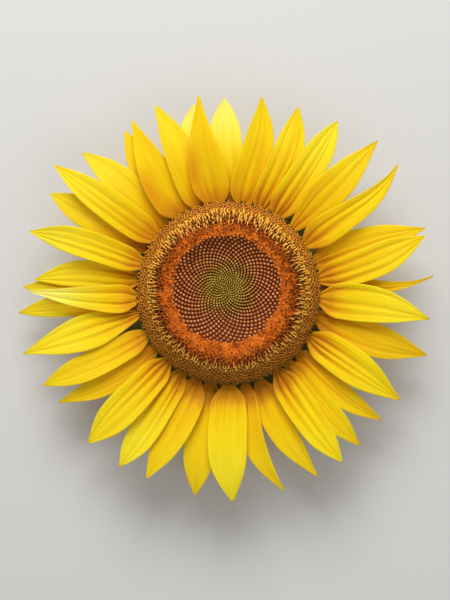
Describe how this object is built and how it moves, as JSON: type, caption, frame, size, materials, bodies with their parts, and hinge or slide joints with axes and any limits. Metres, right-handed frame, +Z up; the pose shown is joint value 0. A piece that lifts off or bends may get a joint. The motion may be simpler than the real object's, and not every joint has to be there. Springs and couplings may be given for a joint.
{
  "type": "sunflower head",
  "caption": "Sunflower head in full bloom with golden pointed ray petals around a brown and orange disc of florets, cut with a short stem stub and lying on its back.",
  "frame": {"origin": "on the surface the flower lies on, under the middle of the whole flower's outline", "axes": "+Z up, along the disc's axis from the cut stem to the florets; +Y towards the top of the flower as it is usually seen, +X to its right"},
  "size_m": [0.2086, 0.2024, 0.0396],
  "materials": {
    "receptacle": "matte",
    "bract": "matte",
    "petal": "matte",
    "green_bud": "matte",
    "ripe_bud": "matte",
    "open_floret": "matte",
    "spent_floret": "matte"
  },
  "bodies": {
    "root": {"receptacle": "receptacle", "green_buds": "green_bud", "ripe_buds": "ripe_bud", "open_florets": "open_floret", "spent_florets": "spent_floret", "petal_01": "petal", "petal_02": "petal", "petal_03": "petal", "petal_04": "petal", "petal_05": "petal", "petal_06": "petal", "petal_07": "petal", "petal_08": "petal", "petal_09": "petal", "petal_10": "petal", "petal_11": "petal", "petal_12": "petal", "petal_13": "petal", "petal_14": "petal", "petal_15": "petal", "petal_16": "petal", "petal_17": "petal", "petal_18": "petal", "petal_19": "petal", "petal_20": "petal", "petal_21": "petal", "petal_22": "petal", "petal_23": "petal", "petal_24": "petal", "petal_25": "petal", "petal_26": "petal", "petal_27": "petal", "petal_28": "petal", "petal_29": "petal", "petal_30": "petal", "petal_31": "petal", "petal_32": "petal", "petal_33": "petal", "petal_34": "petal", "petal_35": "petal", "petal_36": "petal", "petal_37": "petal", "petal_38": "petal", "bract_01": "bract", "bract_02": "bract", "bract_03": "bract", "bract_04": "bract", "bract_05": "bract", "bract_06": "bract", "bract_07": "bract", "bract_08": "bract", "bract_09": "bract", "bract_10": "bract", "bract_11": "bract", "bract_12": "bract", "bract_13": "bract", "bract_14": "bract", "bract_15": "bract", "bract_16": "bract", "bract_17": "bract"}
  },
  "joints": []
}
